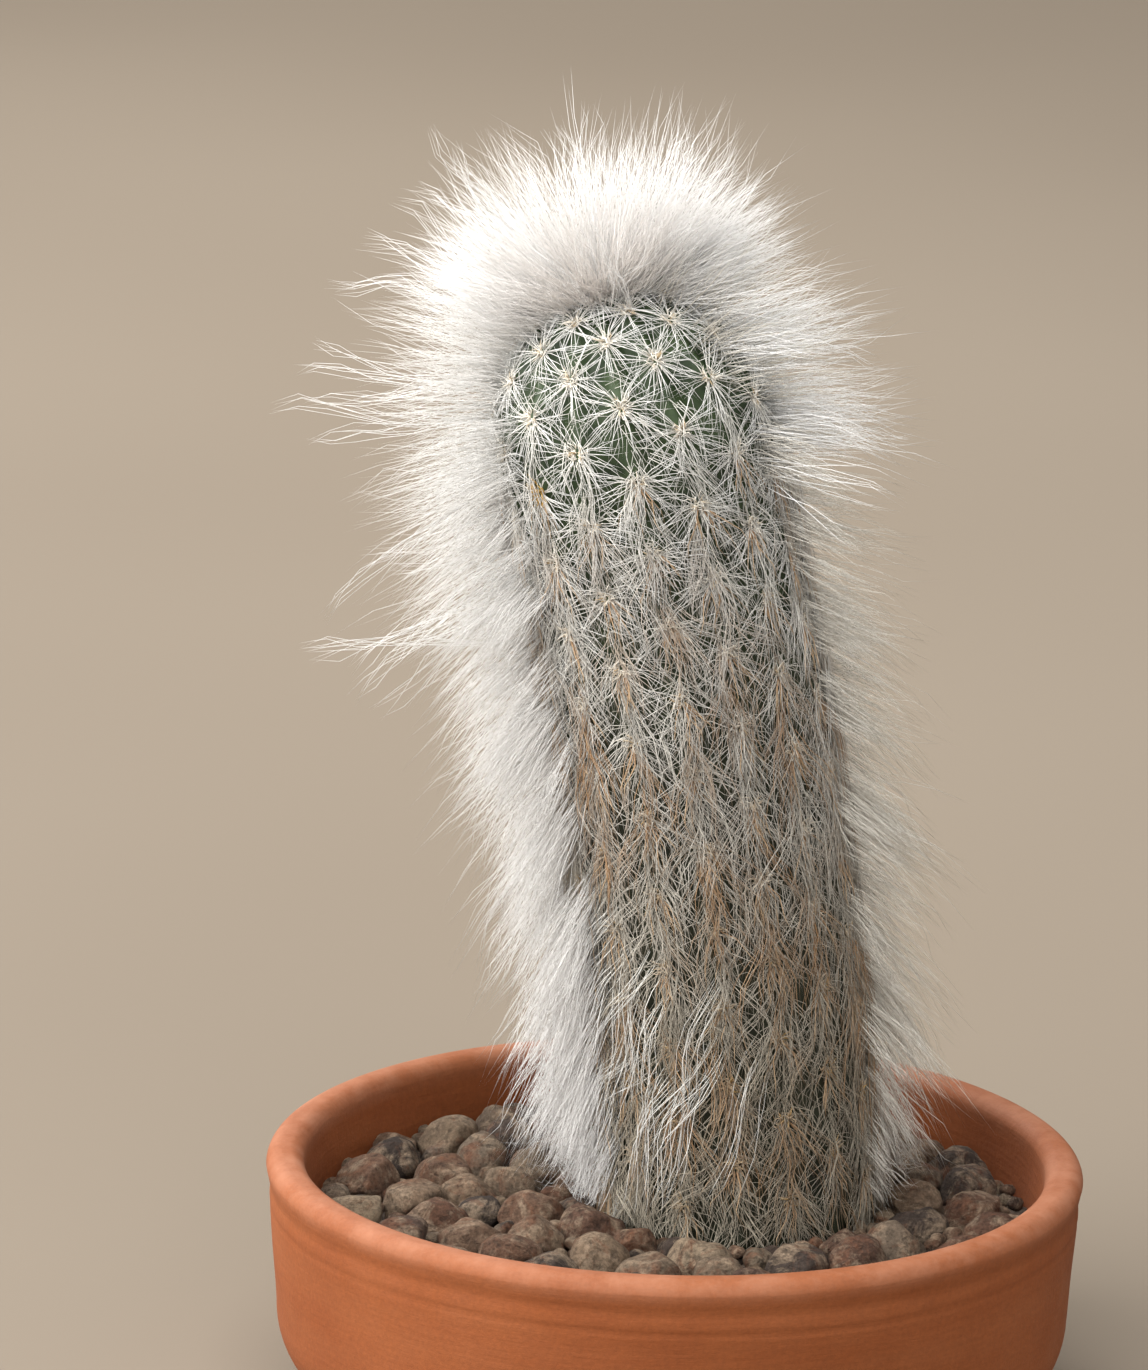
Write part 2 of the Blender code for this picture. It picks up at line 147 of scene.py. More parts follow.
def side(arc, azimuth, offset=0.0):
    """Points at an offset from the stem's smooth side, with the normal, down and turning directions."""
    radius, height, slope = meridian(arc)
    outward = stack(np.cos(azimuth), np.sin(azimuth), 0)
    cos, sin = np.cos(slope)[..., None], np.sin(slope)[..., None]
    upright = outward * cos - DOWN * sin
    down = outward * sin + DOWN * cos
    around = stack(-np.sin(azimuth), np.cos(azimuth), 0)
    spot = outward * radius[..., None] - DOWN * height[..., None] + upright * np.asarray(offset)[..., None]
    base, across, _ = axis_frame(spot[..., 2])
    place = base + across * spot[..., :1] + spot[..., 1:2] * np.array((0, 1, 0))
    _, across, along = axis_frame(height)

    def leaned(direction):
        return across * direction[..., :1] + along * direction[..., 2:] + direction[..., 1:2] * np.array((0, 1, 0))

    return place, leaned(upright), leaned(down), leaned(around)


def row_arc(row):
    """Length from the tip to a row of areoles: rows lie closer together on the young growth."""
    return SIDE_ARC * (row / STEM_ROWS) ** ROW_GROWTH


def off_front(azimuth):
    """Signed turn from the front, negative to the left."""
    return (azimuth - FRONT + math.pi) % math.tau - math.pi


def hood_edge(azimuth):
    """Length from the tip at which the crown's wool ends: short in front, long behind."""
    return (HOOD_FRONT + HOOD_BACK) / 2 + (HOOD_BACK - HOOD_FRONT) / 2 * np.sin(azimuth)


def areoles():
    """Arc length and azimuth of each areole, in staggered rows."""
    places = [
        (row_arc(row), FRONT + math.tau * rib / RIBS)
        for row in range(1, STEM_ROWS)
        for rib in range(row % 2, RIBS, 2)
    ]
    return np.array(places).T


# Mesh building


def mesh_from(name, points, loops, starts, **attributes):
    """A mesh from arrays: corners of all faces in a row, and where each face starts."""
    mesh = bpy.data.meshes.new(name)
    mesh.vertices.add(len(points))
    mesh.vertices.foreach_set("co", np.ascontiguousarray(points, np.float32).ravel())
    mesh.loops.add(len(loops))
    mesh.loops.foreach_set("vertex_index", np.ascontiguousarray(loops, np.int32))
    mesh.polygons.add(len(starts))
    mesh.polygons.foreach_set("loop_start", np.ascontiguousarray(starts, np.int32))
    mesh.polygons.foreach_set("use_smooth", np.ones(len(starts), bool))
    for key, values in attributes.items():
        layer = mesh.attributes.new(key, "FLOAT", "POINT")
        layer.data.foreach_set("value", np.ascontiguousarray(values, np.float32).ravel())
    mesh.update(calc_edges=True)
    return mesh


def piece(name, mesh, surface, slot, *stands_for):
    obj = bpy.data.objects.new(name, mesh)
    bpy.context.scene.collection.objects.link(obj)
    mesh.materials.clear()
    mesh.materials.append(surface)
    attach(obj, "root")
    if stands_for:
        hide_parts(*stands_for)
    return obj


def grid_mesh(name, points, closed_around=True, **attributes):
    """A mesh over a (rows, columns, 3) grid of points whose columns meet round the back."""
    rows, columns, _ = points.shape
    index = np.arange(rows * columns).reshape(rows, columns)
    right = np.roll(index, -1, axis=1)
    quads = np.stack((index[:-1], index[1:], right[1:], right[:-1]), axis=-1)
    if not closed_around:
        quads = quads[:, :-1]
    quads = quads.reshape(-1, 4)
    return mesh_from(name, points.reshape(-1, 3), quads.ravel(), np.arange(len(quads)) * 4, **attributes)


def strand_mesh(name, paths, radii, **attributes):
    """Three-sided tubes along paths (hairs, points, 3), closed at the root and drawn to a point."""
    hairs, points, _ = paths.shape
    tangent = unit(np.gradient(paths, axis=1))
    first = tangent[:, :1]
    helper = np.where(np.abs(first[..., 2:]) > 0.8, np.array((1.0, 0, 0)), np.array((0, 0, 1.0)))
    across = unit(np.cross(tangent, helper))
    over = np.cross(tangent, across)
    turns = np.arange(3) * math.tau / 3
    ring = across[:, :-1, None] * np.cos(turns)[:, None] + over[:, :-1, None] * np.sin(turns)[:, None]
    rings = paths[:, :-1, None] + ring * radii[:, :-1, None, None]
    corners = np.concatenate((rings.reshape(hairs, -1, 3), paths[:, -1:]), axis=1)
    each = corners.shape[1]
    template, starts = [2, 1, 0], [0]
    for level in range(points - 2):
        for i in range(3):
            j = (i + 1) % 3
            starts.append(len(template))
            template += [3 * level + i, 3 * level + j, 3 * level + 3 + j, 3 * level + 3 + i]
    for i in range(3):
        starts.append(len(template))
        template += [3 * (points - 2) + i, 3 * (points - 2) + (i + 1) % 3, each - 1]
    loops = np.arange(hairs)[:, None] * each + np.array(template)
    firsts = np.arange(hairs)[:, None] * len(template) + np.array(starts)
    along = np.concatenate((np.repeat(np.linspace(0, 1, points)[:-1], 3), (1.0,)))
    layers = {key: np.broadcast_to(np.asarray(value)[:, None], (hairs, each)) for key, value in attributes.items()}
    layers["along"] = np.broadcast_to(along, (hairs, each))
    return mesh_from(name, corners.reshape(-1, 3), loops.ravel(), firsts.ravel(), **layers)


# Hair growth


def tapered(radius, points, tip=0.25, hairs=1):
    """Radii along a strand, from its root to its tip."""
    share = np.linspace(0, 1, points)
    return np.broadcast_to(np.asarray(radius)[..., None] * (1 - (1 - tip) * share ** 1.5), (hairs, points))


def grown(root, start, pull, length, turn, points):
    """Paths that leave the root along start and turn towards pull by a share up to turn."""
    steps = (np.arange(points - 1) + 0.5) / (points - 1)
    share = (turn[:, None] * steps)[..., None]
    heading = unit(start[:, None] * (1 - share) + pull[:, None] * share)
    legs = heading * (length / (points - 1))[:, None, None]
    return np.concatenate((root[:, None], root[:, None] + np.cumsum(legs, axis=1)), axis=1)


def wavy(rng, paths, height, waves):
    """Adds a wave across each path, that grows from nothing at the root."""
    hairs, points, _ = paths.shape
    share = np.linspace(0, 1, points)
    first = unit(paths[:, -1] - paths[:, 0])
    across = unit(np.cross(first, unit(rng.normal(size=(hairs, 3)))))
    over = np.cross(first, across)
    for direction in (across, over):
        phase = rng.uniform(0, math.tau, hairs)[:, None]
        number = (waves * rng.uniform(0.6, 1.4, hairs))[:, None]
        wave = np.sin(number * math.tau * share + phase) - np.sin(phase)
        paths = paths + direction[:, None] * (wave * share * np.asarray(height)[..., None])[..., None]
    return paths


def jittered(rng, directions, spread):
    return unit(directions + rng.normal(size=directions.shape) * np.asarray(spread)[..., None])


def kept_up(paths):
    """Lets hairs down between the pebbles near the stem, and lifts them over the pebbles further out."""
    away = np.linalg.norm(paths[..., :2] - STEM_BASE[:2], axis=-1) - STEM_RADIUS
    floor = HAIR_FLOOR + (PEBBLE_TOPS - HAIR_FLOOR) * np.clip((away - 0.002) / 0.004, 0, 1)
    below = floor - paths[..., 2]
    paths[..., 2] = np.where(below > 0, floor + below * 0.08, paths[..., 2])
    return paths


def wool_fur(rng, arc, azimuth, lock_size, shape, points, gather, thickness):
    """Wool hairs in locks. Each lock has a guide, and its hairs are drawn to it towards their tips."""
    hairs = len(arc)
    locks = max(1, hairs // lock_size)
    guide_arc, guide_azimuth = arc[:locks], azimuth[:locks]
    owner = np.arange(hairs) % locks
    around = np.maximum(meridian(guide_arc)[0], 0.003)[owner]
    own_arc = np.maximum(guide_arc[owner] + rng.normal(size=hairs) * LOCK_SPREAD, 0.0002)
    own_azimuth = guide_azimuth[owner] + rng.normal(size=hairs) * LOCK_SPREAD / around

    def paths_of(arcs, azimuths, lengths, hangs, turns, jitter):
        root, normal, down, _ = side(arcs, azimuths, np.full(len(arcs), -0.0006))
        start = normal * np.cos(hangs)[:, None] + down * np.sin(hangs)[:, None]
        pull = unit(down + normal * 0.12 + DOWN * 0.25)
        return grown(root, jittered(rng, start, jitter), pull, lengths, turns, points)

    length, hang, turn = shape(guide_arc, guide_azimuth)
    length = length * rng.triangular(0.6, 0.92, 1.1, locks)
    guides = paths_of(guide_arc, guide_azimuth, length, hang, turn, np.full(locks, 0.17))
    guides = wavy(rng, guides, 0.05 * length, 1.0)
    loose = rng.random(hairs) < LOOSE_SHARE
    own_length = length[owner] * np.where(loose, rng.uniform(0.4, 1.15, hairs), rng.triangular(0.34, 0.95, 1.06, hairs))
    own_hang = hang[owner] + rng.normal(size=hairs) * 0.1
    jitter = np.where(loose, 0.26, 0.14)
    own = paths_of(own_arc, own_azimuth, own_length, own_hang, turn[owner], jitter)
    drawn = gather * np.where(loose, 0.15, rng.uniform(0.7, 1.1, hairs))
    share = (np.linspace(0, 1, points) ** 1.1)[:, None] * drawn[:, None, None]
    reach = (own_length / length[owner])[:, None, None]
    steps = np.linspace(0, 1, points)[:, None]
    root = guides[owner][:, :1]
    goal = root + (guides[owner] - root) * reach
    paths = own * (1 - share) + goal * share
    paths = wavy(rng, paths, rng.uniform(0.01, 0.035, hairs) * own_length, 1.8)
    radii = tapered(rng.uniform(0.7, 1.15, hairs) * thickness, points, 0.18, hairs)
    return kept_up(paths), radii


def surface_strands(rng, arc, azimuth, heading, length, rise, points, wave, bow=0.0, phase=None):
    """Strands over the stem's side, at a rise given for each point. Heading 0 is down, and pi up."""
    hairs = len(arc)
    share = np.linspace(0, 1, points)
    if phase is None:
        phase = rng.uniform(0, math.tau, hairs)
    sway = (np.sin(share * math.tau * 1.1 + phase[:, None]) - np.sin(phase)[:, None]) * np.asarray(wave)
    curl = heading[:, None] + np.asarray(bow) * share + sway
    step = length[:, None] / (points - 1)
    start = np.zeros((hairs, 1))
    fall = np.concatenate((start, np.cumsum(step * np.cos(curl[:, 1:]), axis=1)), axis=1)
    drift = np.concatenate((start, np.cumsum(step * np.sin(curl[:, 1:]), axis=1)), axis=1)
    arcs = arc[:, None] + fall
    radius = np.maximum(meridian(np.maximum(np.abs(arcs), 0.004))[0], 0.004)
    azimuths = azimuth[:, None] + drift / radius
    azimuths = np.where(arcs < 0, azimuths + math.pi, azimuths)
    return side(np.abs(arcs), azimuths, rise)[0]


# Materials


class Surface:
    """A Principled material built from nodes, with short calls for the nodes it needs."""

    def __init__(self, name, roughness, specular=0.4, sheen=0.0):
        self.material = bpy.data.materials.new(name)
        self.material.use_nodes = True
        self.nodes = self.material.node_tree.nodes
        self.links = self.material.node_tree.links
        self.shader = self.nodes["Principled BSDF"]
        self.shader.inputs["Roughness"].default_value = roughness
        self.shader.inputs["Specular IOR Level"].default_value = specular
        self.shader.inputs["Sheen Weight"].default_value = sheen

    def add(self, kind, inputs=(), **settings):
        node = self.nodes.new(kind)
        for key, value in settings.items():
            setattr(node, key, value)
        for key, value in dict(inputs).items():
            if isinstance(value, bpy.types.NodeSocket):
                self.links.new(value, node.inputs[key])
            else:
                node.inputs[key].default_value = value
        return node

    def place(self):
        return self.add("ShaderNodeTexCoord").outputs["Object"]

    def attribute(self, name):
        return self.add("ShaderNodeAttribute", attribute_name=name).outputs["Fac"]

    def noise(self, scale, detail=4.0, roughness=0.5, vector=None, distortion=0.0):
        inputs = {"Scale": scale, "Detail": detail, "Roughness": roughness, "Distortion": distortion}
        inputs["Vector"] = vector or self.place()
        return self.add("ShaderNodeTexNoise", inputs).outputs["Fac"]

    def cells(self, scale, feature="F1", vector=None, output="Distance"):
        inputs = {"Scale": scale, "Vector": vector or self.place()}
        return self.add("ShaderNodeTexVoronoi", inputs, feature=feature).outputs[output]

    def ramp(self, value, *stops):
        """A colour ramp from (position, colour) stops."""
        node = self.add("ShaderNodeValToRGB", {"Fac": value})
        elements = node.color_ramp.elements
        while len(elements) < len(stops):
            elements.new(0.5)
        for element, (position, colour) in zip(elements, stops):
            element.position = position
            element.color = (*colour, 1)
        return node.outputs["Color"]

    def mix(self, share, a, b, blend="MIX"):
        node = self.add("ShaderNodeMix", data_type="RGBA", blend_type=blend)
        for key, value in ((0, share), (6, a), (7, b)):
            if isinstance(value, bpy.types.NodeSocket):
                self.links.new(value, node.inputs[key])
            else:
                node.inputs[key].default_value = value if key == 0 else (*value, 1)
        return node.outputs[2]

    def math(self, operation, a, b=0.0):
        return self.add("ShaderNodeMath", {0: a, 1: b}, operation=operation).outputs[0]

    def spread(self, value, low, high, to_low=0.0, to_high=1.0):
        inputs = {"Value": value, "From Min": low, "From Max": high, "To Min": to_low, "To Max": to_high}
        return self.add("ShaderNodeMapRange", inputs).outputs["Result"]

    def colour(self, socket):
        self.links.new(socket, self.shader.inputs["Base Color"])

    def roughness(self, socket):
        self.links.new(socket, self.shader.inputs["Roughness"])

    def bump(self, height, distance, strength=1.0):
        node = self.add("ShaderNodeBump", {"Height": height, "Distance": distance, "Strength": strength})
        self.links.new(node.outputs["Normal"], self.shader.inputs["Normal"])

    def glow_through(self, share, colour):
        """Lets light through to the far side, as fine hairs do."""
        output = self.nodes["Material Output"]
        through = self.add("ShaderNodeBsdfTranslucent", {"Color": colour})
        both = self.add("ShaderNodeMixShader", {0: share, 1: self.shader.outputs[0], 2: through.outputs[0]})
        self.links.new(both.outputs[0], output.inputs["Surface"])


def terracotta():
    made = Surface("terracotta", 0.8, 0.3)
    clay = made.ramp(
        made.noise(30, 6, 0.62),
        (0.28, (0.188, 0.045, 0.010)),
        (0.5, (0.222, 0.058, 0.014)),
        (0.74, (0.262, 0.075, 0.021)),
    )
    turned = made.add("ShaderNodeVectorMath", {0: made.place(), 1: (1, 1, 10)}, operation="MULTIPLY").outputs[0]
    bands = made.spread(made.noise(24, 4, 0.6, vector=turned), 0.35, 0.7, 0, 0.2)
    banded = made.mix(bands, clay, (0.290, 0.098, 0.034))
    grain = made.spread(made.noise(1500, 3, 0.7), 0.3, 0.7, 0.9, 1.09)
    grey = made.add("ShaderNodeCombineColor", {0: grain, 1: grain, 2: grain}).outputs[0]
    grainy = made.mix(1.0, banded, grey, "MULTIPLY")
    height = made.add("ShaderNodeSeparateXYZ", {0: made.place()}).outputs["Z"]
    # Painted highlight: the top of the rim is lighter and pinker, in patches.
    rim_highlight = made.math("MULTIPLY", made.spread(height, 0.0325, 0.0355), made.spread(made.noise(110, 6, 0.7), 0.4, 0.6, 0.2, 0.7))
    made.colour(made.mix(rim_highlight, grainy, (0.345, 0.150, 0.085)))
    made.roughness(made.spread(made.noise(220, 3), 0.3, 0.7, 0.7, 0.88))
    fine = made.math("ADD", made.noise(1300, 4, 0.7), made.noise(130, 3, 0.5, vector=turned))
    made.bump(fine, 0.00013, 0.5)
    return made.material


def earth():
    made = Surface("soil", 0.95, 0.2)
    made.colour(made.ramp(made.noise(420, 6, 0.7), (0.3, (0.02, 0.013, 0.009)), (0.7, (0.085, 0.055, 0.036))))
    made.bump(made.noise(700, 5, 0.7), 0.0008)
    return made.material


def pebble_stone():
    made = Surface("gravel", 0.9, 0.2)
    base = made.ramp(
        made.attribute("tint"),
        (0.0, (0.062, 0.046, 0.038)),
        (0.16, (0.120, 0.086, 0.068)),
        (0.34, (0.175, 0.084, 0.050)),
        (0.5, (0.230, 0.145, 0.095)),
        (0.66, (0.320, 0.225, 0.145)),
        (0.84, (0.165, 0.122, 0.092)),
        (1.0, (0.400, 0.300, 0.200)),
    )
    shift = made.add("ShaderNodeVectorMath", {0: made.place(), 1: (3.1, 5.7, 1.3)}, operation="ADD").outputs[0]
    pale = made.spread(made.noise(230, 8, 0.72, vector=shift, distortion=0.5), 0.48, 0.60, 0, 0.75)
    patched = made.mix(pale, base, (0.47, 0.345, 0.235))
    rust = made.spread(made.noise(200, 7, 0.7, distortion=0.8), 0.52, 0.64, 0, 0.75)
    rusty = made.mix(rust, patched, (0.230, 0.095, 0.050))
    grain = made.spread(made.noise(1500, 6, 0.75), 0.3, 0.7, 0.4, 1.25)
    grey = made.add("ShaderNodeCombineColor", {0: grain, 1: grain, 2: grain}).outputs[0]
    grainy = made.mix(1.0, rusty, grey, "MULTIPLY")
    # Painted shade: the stone is darker in its hollows, where the bump is low.
    pits = made.spread(made.noise(820, 5, 0.7, vector=shift), 0.3, 0.46)
    shaded = made.mix(made.math("SUBTRACT", 1.0, pits), grainy, (0.045, 0.033, 0.027))
    made.colour(made.mix(0.55, grainy, shaded))
    coarse = made.math("MULTIPLY", made.noise(480, 8, 0.78), 2.0)
    relief = made.math("ADD", coarse, made.math("MULTIPLY", pits, 0.7))
    made.bump(relief, 0.0012, 1.0)
    return made.material


def grit():
    made = Surface("gravel_bed", 0.95, 0.2)
    made.colour(made.ramp(made.noise(900, 5, 0.7), (0.3, (0.035, 0.027, 0.022)), (0.72, (0.17, 0.125, 0.095))))
    made.bump(made.noise(1100, 4, 0.7), 0.0006)
    return made.material


def stem_skin():
    made = Surface("stem", 0.55, 0.4)
    height = made.add("ShaderNodeSeparateXYZ", {0: made.place()}).outputs["Z"]
    young = made.spread(height, 0.085, 0.15)
    mottle = made.noise(260, 5, 0.6)
    old_skin = made.ramp(mottle, (0.3, (0.010, 0.014, 0.006)), (0.7, (0.030, 0.034, 0.017)))
    new_skin = made.ramp(mottle, (0.3, (0.009, 0.022, 0.005)), (0.7, (0.034, 0.064, 0.016)))
    made.colour(made.mix(young, old_skin, new_skin))
    made.bump(made.noise(1400, 4, 0.6), 0.0001, 0.6)
    return made.material


def hair(name, root, tip, shade_low, through, roughness=0.5, aged=None, warm=WARM_HAIR):
    """Hair coloured from root to tip, lighter and darker from hair to hair, some of it warm or aged."""
    made = Surface(name, roughness, 0.3)
    tone = made.mix(made.spread(made.attribute("along"), 0.0, 0.6), root, tip)
    if aged:
        height = made.add("ShaderNodeSeparateXYZ", {0: made.place()}).outputs["Z"]
        tone = made.mix(made.spread(height, 0.125, 0.05, 0, 0.9), tone, aged)
    tone = made.mix(made.attribute("warm"), tone, warm)
    shade = made.spread(made.attribute("shade"), 0, 1, shade_low, 1.0)
    flecks = made.spread(made.noise(1500, 2, 0.5), 0.3, 0.7, 0.93, 1.0)
    level = made.math("MULTIPLY", shade, flecks)
    grey = made.add("ShaderNodeCombineColor", {0: level, 1: level, 2: level}).outputs[0]
    toned = made.mix(1.0, tone, grey, "MULTIPLY")
    made.colour(toned)
    made.glow_through(through, toned)
    return made.material


def underwool_felt():
    made = Surface("underwool", 0.9, 0.15)
    stretched = made.add("ShaderNodeVectorMath", {0: made.place(), 1: (1, 1, 0.22)}, operation="MULTIPLY").outputs[0]
    fibres = made.noise(2600, 5, 0.65, vector=stretched, distortion=1.2)
    made.colour(made.ramp(fibres, (0.32, (0.78, 0.76, 0.71)), (0.55, (0.95, 0.94, 0.92))))
    made.bump(fibres, 0.0006, 0.9)
    return made.material


# Pot


def arc_points(centre, radius, start, end, count):
    """Points of a circle's arc in the (radius, height) plane, angles in degrees."""
    angles = np.radians(np.linspace(start, end, count))
    return np.stack((centre[0] + radius * np.cos(angles), centre[1] + radius * np.sin(angles)), axis=-1)


def line_points(start, end, count):
    share = np.linspace(0, 1, count + 2)[1:-1, None]
    return np.array(start) * (1 - share) + np.array(end) * share


def pot_profile():
    """The bowl's closed profile from the rim's top, down its outer side and up its inner side."""
    rim = arc_points((RIM_RADIUS - RIM_ROUNDING, POT_HEIGHT - RIM_ROUNDING), RIM_ROUNDING, 90, 6, 12)
    taper = math.tan(OUTER_TAPER)
    shoulder = np.array((RIM_RADIUS - 0.0002, POT_HEIGHT - RIM_ROUNDING - 0.0006))
    corner_z = FOOT_START
    corner_r = shoulder[0] - (shoulder[1] - corner_z) * taper
    wall = line_points(shoulder, (corner_r, corner_z), 40)
    waist = np.exp(-((wall[:, 1] - (POT_HEIGHT - BAND_HEIGHT)) / 0.0011) ** 2)
    line = np.exp(-((wall[:, 1] - (POT_HEIGHT - BAND_HEIGHT - 0.0027)) / 0.0003) ** 2)
    wall[:, 0] -= 0.00022 * waist + 0.00013 * line
    foot = arc_points((corner_r - FOOT_BEND, corner_z), FOOT_BEND, -math.degrees(OUTER_TAPER), -60, 12)
    sole = arc_points((0, 0.0024), 0.0024, -60, -90, 4)
    slide = (foot[-1][1] - sole[0][1]) / math.sqrt(3)
    sole[:, 0] += foot[-1][0] - slide * 3 - sole[0][0]
    base = [(DRAIN_RADIUS + 0.0008, 0), (DRAIN_RADIUS, 0.0008), (DRAIN_RADIUS, FLOOR_THICKNESS)]
    inner_top = RIM_RADIUS - RIM_WIDTH
    inner_z = FLOOR_THICKNESS + INNER_ROUNDING
    inner_r = inner_top - (POT_HEIGHT - RIM_ROUNDING - inner_z) * math.tan(WALL_TAPER) - INNER_ROUNDING
    inside = arc_points((inner_r, inner_z), INNER_ROUNDING, -90, -5, 8)
    rise = line_points(inside[-1], (inner_top, POT_HEIGHT - RIM_ROUNDING), 12)
    crest = arc_points((inner_top + RIM_ROUNDING, POT_HEIGHT - RIM_ROUNDING), RIM_ROUNDING, 180, 96, 9)
    return np.concatenate((rim, [shoulder], wall, foot, sole, base, inside, rise, crest))


def make_pot():
    rng = np.random.default_rng(3)
    profile = pot_profile()
    profile = np.concatenate((profile, profile[:1]))
    turns = np.linspace(0, math.tau, POT_STEPS, endpoint=False)
    wobble = sum(
        rng.uniform(0.3, 1.0) * np.sin(n * turns[None] + rng.uniform(0, math.tau) + profile[:, 1:] * 90 * n)
        for n in range(2, 7)
    )
    radius = profile[:, :1] + 0.00003 * wobble * (profile[:, 1:] > 0.004)
    points = np.stack((radius * np.cos(turns), radius * np.sin(turns), np.repeat(profile[:, 1:], POT_STEPS, 1)), -1)
    mesh = grid_mesh("pot", points[:-1])
    bm = bmesh.new()
    bm.from_mesh(mesh)
    rows = len(points) - 1
    bm.verts.ensure_lookup_table()
    last = (rows - 1) * POT_STEPS
    for i in range(POT_STEPS):
        j = (i + 1) % POT_STEPS
        face = bm.faces.new((bm.verts[last + i], bm.verts[i], bm.verts[j], bm.verts[last + j]))
        face.smooth = True
    bmesh.ops.recalc_face_normals(bm, faces=bm.faces)
    bm.to_mesh(mesh)
    bm.free()
    piece("pot_bowl", mesh, terracotta(), "terracotta", "pot")


# Gravel


def inner_radius(height):
    return RIM_RADIUS - RIM_WIDTH - (POT_HEIGHT - RIM_ROUNDING - height) * math.tan(WALL_TAPER)


def pebble_places():
    """Centre, radius and turn of each pebble of the CAD model, by the same rule and seed."""
    rng = random.Random(PEBBLE_SEED)
    wall = inner_radius(BED_TOP) - GAP
    stem_edge = STEM_RADIUS + AREOLE_RISE + 0.0004
    kept = []
    for size in PEBBLE_SIZES:
        for _ in range(PEBBLE_TRIES):
            radius = size * rng.uniform(0.94, 1.06)
            away = (wall - radius) * math.sqrt(rng.random())
            turn = rng.uniform(0, math.tau)
            spot = Vector((away * math.cos(turn), away * math.sin(turn), BED_TOP + PEBBLE_LIFT * radius))
            axis = Vector(axis_frame(np.array(spot.z - STEM_BASE[2]))[0])
            if (spot - axis).length < stem_edge + radius:
                continue
            if all((spot - other).length > PEBBLE_NEARNESS * (radius + r) for other, r in kept):
                kept.append((spot, radius))
    rng = random.Random(PEBBLE_SEED)
    shapes = []
    for spot, radius in kept:
        turn = rng.uniform(0, math.tau)
        shapes.append((np.array(spot), radius, turn, rng.uniform(*PEBBLE_OVAL), rng.uniform(*PEBBLE_SQUAT)))
    return shapes


def filler_places(rng, shapes):
    """Small stones that lie deeper and fill the gaps between the large ones."""
    wall = inner_radius(BED_TOP) - GAP
    centres = [shape[0] for shape in shapes]
    sizes = [shape[1] for shape in shapes]
    fillers = []
    for attempt in range(6400):
        radius = rng.uniform(0.0011, 0.0026)
        away = (wall - radius) * math.sqrt(rng.random())
        turn = rng.uniform(0, math.tau)
        spot = np.array((away * math.cos(turn), away * math.sin(turn), BED_TOP + rng.uniform(-0.0002, 0.0010)))
        axis = axis_frame(np.array(spot[2] - STEM_BASE[2]))[0]
        if attempt % 4 == 0:
            away = STEM_RADIUS + radius + rng.uniform(-0.0002, 0.002)
            spot[:2] = axis[:2] + np.array((away * math.cos(turn), away * math.sin(turn)))
        if np.linalg.norm(spot - axis) < STEM_RADIUS - 0.0004 + radius:
            continue
        gaps = np.linalg.norm(np.array(centres) - spot, axis=1)
        if (gaps > 0.8 * (np.array(sizes) + radius)).all():
            centres.append(spot)
            sizes.append(radius)
            fillers.append((spot, radius, rng.uniform(0, math.tau), rng.uniform(0.75, 1), rng.uniform(0.7, 0.95)))
    return fillers


def ball(subdivisions):
    bm = bmesh.new()
    bmesh.ops.create_icosphere(bm, subdivisions=subdivisions, radius=1)
    points = np.array([vert.co[:] for vert in bm.verts])
    faces = np.array([[vert.index for vert in face.verts] for face in bm.faces])
    bm.free()
    return points, faces


def worn_stone(rng, points):
    """A unit ball made into a worn stone: faces ground flat, then lumps and dents."""
    for _ in range(9):
        direction = unit(rng.normal(size=3))
        level = rng.uniform(0.72, 0.94)
        excess = np.maximum(points @ direction - level, 0)
        points = points - np.outer(excess * 0.85, direction)
    shift = np.zeros(len(points))
    for size, rate, count in ((0.06, 2.6, 5), (0.03, 6.5, 7), (0.02, 14.0, 12)):
        for _ in range(count):
            shift += size * np.sin(points @ (unit(rng.normal(size=3)) * rate) + rng.uniform(0, math.tau)) / math.sqrt(count)
    for _ in range(22):
        dent = unit(rng.normal(size=3))
        near = np.linalg.norm(unit(points) - dent, axis=1) / rng.uniform(0.12, 0.24)
        shift -= rng.uniform(-0.03, 0.075) * np.exp(-near ** 2)
    return points * (1 + shift)[:, None]


def stones_mesh(name, rng, shapes, subdivisions):
    unit_points, unit_faces = ball(subdivisions)
    corners, faces, tints = [], [], []
    for number, (spot, radius, turn, oval, squat) in enumerate(shapes):
        points = worn_stone(rng, unit_points) * np.array((1, oval, squat)) * radius
        tilt = Matrix.Rotation(rng.normal() * 0.16, 3, "X") @ Matrix.Rotation(rng.normal() * 0.16, 3, "Y")
        spin = np.array(Matrix.Rotation(turn, 3, "Z") @ tilt)
        corners.append(points @ spin.T + spot)
        faces.append(unit_faces + number * len(unit_points))
        tints.append(np.full(len(unit_points), rng.random()))
    faces = np.concatenate(faces)
    starts = np.arange(len(faces)) * 3
    return mesh_from(name, np.concatenate(corners), faces.ravel(), starts, tint=np.concatenate(tints))


